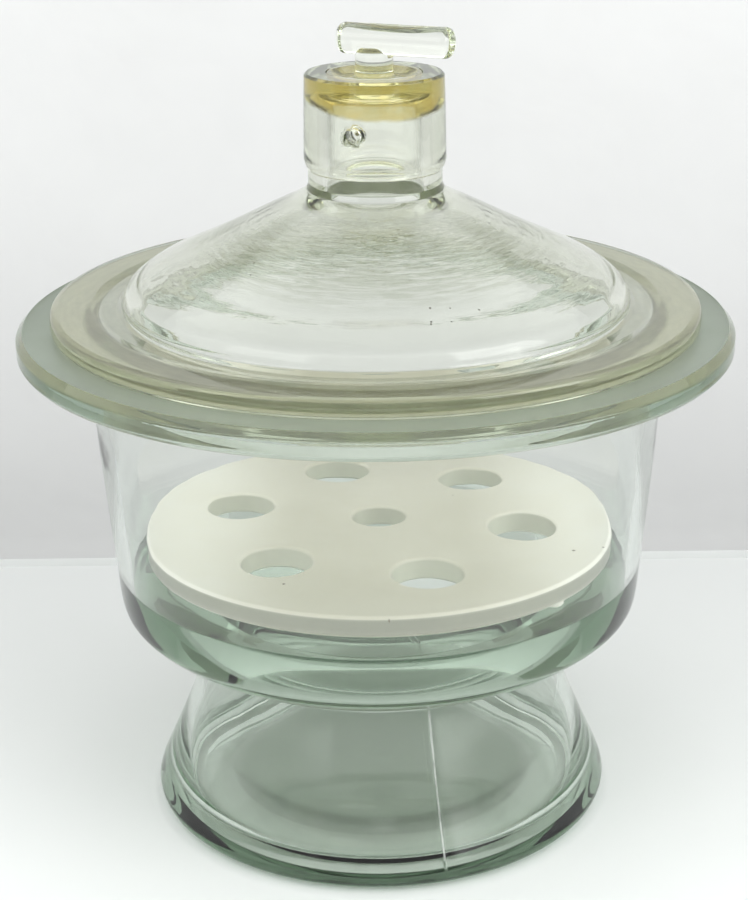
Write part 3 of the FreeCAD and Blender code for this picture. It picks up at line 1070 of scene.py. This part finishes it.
# sections as (y, z), swept along x
TABLE = [(TABLE_BACK, TABLE_Z), (-0.6, TABLE_Z), (-2.2, TABLE_Z)]
EDGE = [(0.2192, 0.004), (0.2188, 0.0028), (TABLE_BACK, TABLE_Z)]
BACKDROP = [(0.236, 0.5), (0.234, 0.2), (0.233, 0.08), (0.232, 0.03), (0.230, 0.012),
            (0.226, 0.006), (0.222, 0.0046), (0.2192, 0.004)]


def sheet(name, stations, section):
    """A section swept through the x stations."""
    points = [(x, y, z) for x in stations for y, z in section]
    count = len(section)
    faces = [(i * count + j, i * count + j + 1, (i + 1) * count + j + 1, (i + 1) * count + j)
             for i in range(len(stations) - 1) for j in range(count - 1)]
    ob = add_object(name, points, faces)
    return ob


def table_material():
    net = new_material("table_white")
    # painted shade: the table's colour darkens towards the back (+Y)
    tone = net.fall(net.y, start=-0.30, end=0.20, low=0.84)
    colour = net.make("HueSaturation", Color=(0.84, 0.852, 0.848), Value=tone)
    normal = net.bump(net.noise(scale=25.0, detail=3.0), distance=0.0006)
    return net.finish(net.make("BsdfPrincipled", Base_Color=colour, Roughness=0.75,
                               Specular_IOR_Level=0.25, Normal=normal))


def backdrop_material():
    """Softly glowing cloth with painted light, brighter upwards, and painted shade in its
    folds; transparent from behind.
    """
    net = new_material("backdrop_cloth")
    # painted light: the glow brightens upwards and a little towards +X
    lift = net.add(net.z, net.mul(net.x, 0.035))
    tone = net.greys(net.mul(lift, 1 / 0.32), [
        (0.0, 0.40), (0.03, 0.41), (0.09, 0.43), (0.30, 0.52), (0.56, 0.62), (0.86, 0.70),
        (1.0, 0.72)])
    # painted shade of the folds, multiplied into the glow
    fold_shade = net.noise(scale=11.0, detail=3.0, rough=0.55, distortion=0.3)
    tone = net.blend(1.0, tone, net.greys(fold_shade, [(0.3, 0.965), (0.7, 1.02)]), "MULTIPLY")
    tone = net.blend(1.0, tone, (0.99, 1.0, 0.994), "MULTIPLY")
    creases = net.noise(scale=14.0, detail=3.0, rough=0.55, distortion=0.4)
    cloth = net.make("BsdfDiffuse", Color=(0.20, 0.202, 0.201),
                     Normal=net.bump(creases, distance=0.004))
    front = net.fill(net.node("AddShader"), net.make("Emission", Color=tone), cloth)
    behind = net.node("NewGeometry").outputs["Backfacing"]
    return net.finish(net.mix(behind, front, net.transparent()))


wide = [-0.9 + 0.1 * k for k in range(19)]
table = sheet("table", [-1.6, 0, 1.6], TABLE)
edge = sheet("sheet_edge", wide, EDGE)
backdrop = sheet("backdrop", wide, BACKDROP)
table.data.materials.append(table_material())
backdrop.data.materials.append(backdrop_material())
edge.data.materials.append(table.data.materials[0])


# =====================================================================
# light from the surroundings
# =====================================================================
def light_patch(net, azimuth, height, left, right, bottom, top, soft=0.05):
    """1 inside a soft-edged window of azimuth and height."""
    across = net.mul(net.rise(azimuth, start=left - soft, end=left + soft),
                     net.fall(azimuth, start=right - soft, end=right + soft))
    upward = net.mul(net.rise(height, start=bottom - soft, end=bottom + soft),
                     net.fall(height, start=top - soft, end=top + soft))
    return net.mul(across, upward)


def build_world():
    world = bpy.data.worlds.new("studio")
    scene.world = world
    net = Net(world)
    x, y, z = net.split(net.node("TexCoord").outputs["Generated"])
    # brighter upwards, less so overhead, dimmer behind the camera
    sky = net.sub(net.rise(z, start=-0.15, end=0.62, low=0.50, high=1.74),
                  net.rise(z, start=0.72, end=0.92, high=0.44))
    behind = net.mul(net.rise(y, start=-0.25, end=-0.85), net.rise(z, start=0.75, end=0.35))
    room = net.mul(sky, net.sub(1.0, net.mul(behind, 0.38)))
    # window-like patches; azimuth is 0 towards -Y and grows towards +X
    azimuth = net.math("ARCTAN2", x, net.mul(y, -1.0))
    left = light_patch(net, azimuth, z, left=-1.25, right=-0.55, bottom=0.25, top=0.62)
    right = light_patch(net, azimuth, z, left=0.62, right=1.40, bottom=0.22, top=0.66)
    glow = net.add(net.mul(left, 1.3), net.mul(right, 2.7))
    net.finish(net.make("Background", Color=(0.985, 1.0, 0.995),
                        Strength=net.add(room, glow)))


build_world()

# =====================================================================
# camera
# =====================================================================
CAMERA_PLACE = (0, -0.71828, 0.41569)
PITCH_DOWN = math.radians(20.61)
YAW_RIGHT = math.radians(1.473)
ROLL = math.radians(-0.109)


def add_camera():
    data = bpy.data.cameras.new("camera")
    camera = bpy.data.objects.new("camera", data)
    scene.collection.objects.link(camera)
    forward = Vector((math.sin(YAW_RIGHT) * math.cos(PITCH_DOWN),
                      math.cos(YAW_RIGHT) * math.cos(PITCH_DOWN), -math.sin(PITCH_DOWN)))
    level = Vector((math.cos(YAW_RIGHT), -math.sin(YAW_RIGHT), 0))
    upward = level.cross(forward)
    right = math.cos(ROLL) * level + math.sin(ROLL) * upward
    up = -math.sin(ROLL) * level + math.cos(ROLL) * upward
    matrix = Matrix((right, up, -forward)).transposed().to_4x4()
    matrix.translation = Vector(CAMERA_PLACE)
    camera.matrix_world = matrix
    data.sensor_width = 36.0
    data.lens = 76.8736
    data.shift_x = -0.0562555556
    data.shift_y = 0.000211111111
    data.clip_start = 0.01
    data.clip_end = 20
    scene.camera = camera


add_camera()

# =====================================================================
# render settings
# =====================================================================
scene.view_settings.view_transform = "Standard"
scene.view_settings.look = "None"
cycles = scene.cycles
cycles.max_bounces = 18
cycles.transmission_bounces = 18
cycles.transparent_max_bounces = 32
cycles.glossy_bounces = 10
cycles.diffuse_bounces = 4
cycles.volume_bounces = 0
cycles.sample_clamp_indirect = 6.0
cycles.blur_glossy = 0.2
cycles.caustics_refractive = True
cycles.caustics_reflective = True
cycles.use_denoising = True
